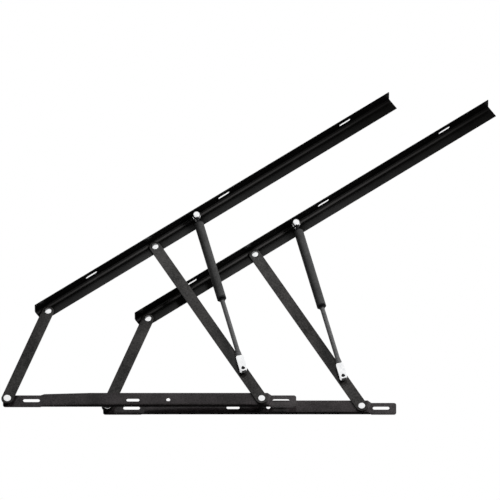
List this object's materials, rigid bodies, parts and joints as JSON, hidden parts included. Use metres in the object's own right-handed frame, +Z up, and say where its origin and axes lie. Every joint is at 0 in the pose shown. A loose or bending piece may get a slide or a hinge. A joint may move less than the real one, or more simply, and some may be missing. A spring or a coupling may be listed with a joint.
{
  "type": "hydraulic bed lift mechanism",
  "caption": "Folding bed-lift units: slotted base rail, two pressed arms, angled top rail and a gas strut, raised ready to hold a bed platform open.",
  "frame": {"origin": "on the floor under the middle of the pair's box", "axes": "+X along the base rails towards the strut side, +Y from the links towards the mounting plane, +Z up"},
  "size_m": [1.5828, 0.103, 1.1536],
  "materials": {
    "black_enamel": "satin black stoved enamel",
    "strut_enamel": "satin black enamel",
    "bright_zinc": "bright zinc plate",
    "chromed_rod": "polished hard chrome",
    "dark_steel": "blackened steel",
    "black_nylon": "matt black nylon",
    "seal_rubber": "black rubber"
  },
  "bodies": {
    "base": {"front_base_rail": "black_enamel", "front_base_left_rivet": "bright_zinc", "front_base_left_bush": "black_nylon", "front_base_right_rivet_tail": "bright_zinc", "rear_base_rail": "black_enamel", "rear_base_left_rivet": "bright_zinc", "rear_base_left_bush": "black_nylon", "rear_base_right_rivet_tail": "bright_zinc"},
    "front_short_arm": {"front_short_link": "black_enamel"},
    "front_top_rail_body": {"front_top_rail": "black_enamel", "front_rail_left_rivet": "bright_zinc", "front_rail_left_washer": "black_nylon", "front_rail_middle_rivet": "bright_zinc", "front_rail_middle_washer": "black_nylon", "front_strut_ball_stud": "bright_zinc"},
    "front_long_arm": {"front_long_link": "black_enamel", "front_base_right_rivet_head": "bright_zinc", "front_base_right_washer": "black_nylon", "front_foot_stud_tail": "dark_steel"},
    "front_strut_cylinder": {"front_strut_tube": "strut_enamel", "front_strut_top_plug": "black_nylon", "front_strut_ball_socket": "bright_zinc", "front_socket_clip": "bright_zinc", "front_rod_guide": "black_nylon", "front_rod_seal": "seal_rubber", "front_tube_end_collar": "black_nylon"},
    "front_strut_plunger": {"front_strut_rod": "chromed_rod", "front_strut_piston": "black_nylon", "front_piston_nut": "bright_zinc", "front_foot_fitting": "bright_zinc", "front_foot_stud": "dark_steel"},
    "rear_short_arm": {"rear_short_link": "black_enamel"},
    "rear_top_rail_body": {"rear_top_rail": "black_enamel", "rear_rail_left_rivet": "bright_zinc", "rear_rail_left_washer": "black_nylon", "rear_rail_middle_rivet": "bright_zinc", "rear_rail_middle_washer": "black_nylon", "rear_strut_ball_stud": "bright_zinc"},
    "rear_long_arm": {"rear_long_link": "black_enamel", "rear_base_right_rivet_head": "bright_zinc", "rear_base_right_washer": "black_nylon", "rear_foot_stud_tail": "dark_steel"},
    "rear_strut_cylinder": {"rear_strut_tube": "strut_enamel", "rear_strut_top_plug": "black_nylon", "rear_strut_ball_socket": "bright_zinc", "rear_socket_clip": "bright_zinc", "rear_rod_guide": "black_nylon", "rear_rod_seal": "seal_rubber", "rear_tube_end_collar": "black_nylon"},
    "rear_strut_plunger": {"rear_strut_rod": "chromed_rod", "rear_strut_piston": "black_nylon", "rear_piston_nut": "bright_zinc", "rear_foot_fitting": "bright_zinc", "rear_foot_stud": "dark_steel"}
  },
  "joints": [
    {"name": "front_short_link_fold", "type": "hinge", "parent": "base", "child": "front_short_arm", "pos_m": [-0.77245, -0.0145, 0.02], "axis": [0, -1, 0], "range_deg": [0, 57.98], "stiffness_Nm_per_rad": 20, "springref_deg": -57.3},
    {"name": "front_rail_turn", "type": "hinge", "parent": "front_short_arm", "child": "front_top_rail_body", "pos_m": [-0.64415, -0.0145, 0.3473], "axis": [0, -1, 0], "range_deg": [-93.43, 0]},
    {"name": "front_long_link_turn", "type": "hinge", "parent": "front_top_rail_body", "child": "front_long_arm", "pos_m": [-0.30265, -0.0145, 0.59], "axis": [0, -1, 0], "range_deg": [0, 69.42]},
    {"name": "front_strut_turn", "type": "hinge", "parent": "front_top_rail_body", "child": "front_strut_cylinder", "pos_m": [-0.1706, -0.0365, 0.6945], "axis": [0, -1, 0], "range_deg": [0, 74.49]},
    {"name": "front_strut_stroke", "type": "slide", "parent": "front_strut_cylinder", "child": "front_strut_plunger", "axis": [-0.2513, 0, 0.9679], "range_m": [0, 0.1871]},
    {"name": "rear_short_link_fold", "type": "hinge", "parent": "base", "child": "rear_short_arm", "pos_m": [-0.45345, 0.0315, 0.02], "axis": [0, -1, 0], "range_deg": [0, 57.98], "stiffness_Nm_per_rad": 20, "springref_deg": -57.3},
    {"name": "rear_rail_turn", "type": "hinge", "parent": "rear_short_arm", "child": "rear_top_rail_body", "pos_m": [-0.32515, 0.0315, 0.3473], "axis": [0, -1, 0], "range_deg": [-93.43, 0]},
    {"name": "rear_long_link_turn", "type": "hinge", "parent": "rear_top_rail_body", "child": "rear_long_arm", "pos_m": [0.01635, 0.0315, 0.59], "axis": [0, -1, 0], "range_deg": [0, 69.42]},
    {"name": "rear_strut_turn", "type": "hinge", "parent": "rear_top_rail_body", "child": "rear_strut_cylinder", "pos_m": [0.1484, 0.0095, 0.6945], "axis": [0, -1, 0], "range_deg": [0, 74.49]},
    {"name": "rear_strut_stroke", "type": "slide", "parent": "rear_strut_cylinder", "child": "rear_strut_plunger", "axis": [-0.2513, 0, 0.9679], "range_m": [0, 0.1871]}
  ],
  "couplings": [
    {"joint": "front_rail_turn", "follows": "front_short_link_fold", "ratio": -1.6106},
    {"joint": "front_long_link_turn", "follows": "front_short_link_fold", "ratio": 1.1965},
    {"joint": "front_strut_turn", "follows": "front_short_link_fold", "ratio": 1.284},
    {"joint": "front_strut_stroke", "follows": "front_short_link_fold", "m_per_rad": 0.18441},
    {"joint": "rear_rail_turn", "follows": "rear_short_link_fold", "ratio": -1.6106},
    {"joint": "rear_long_link_turn", "follows": "rear_short_link_fold", "ratio": 1.1965},
    {"joint": "rear_strut_turn", "follows": "rear_short_link_fold", "ratio": 1.284},
    {"joint": "rear_strut_stroke", "follows": "rear_short_link_fold", "m_per_rad": 0.18441}
  ]
}
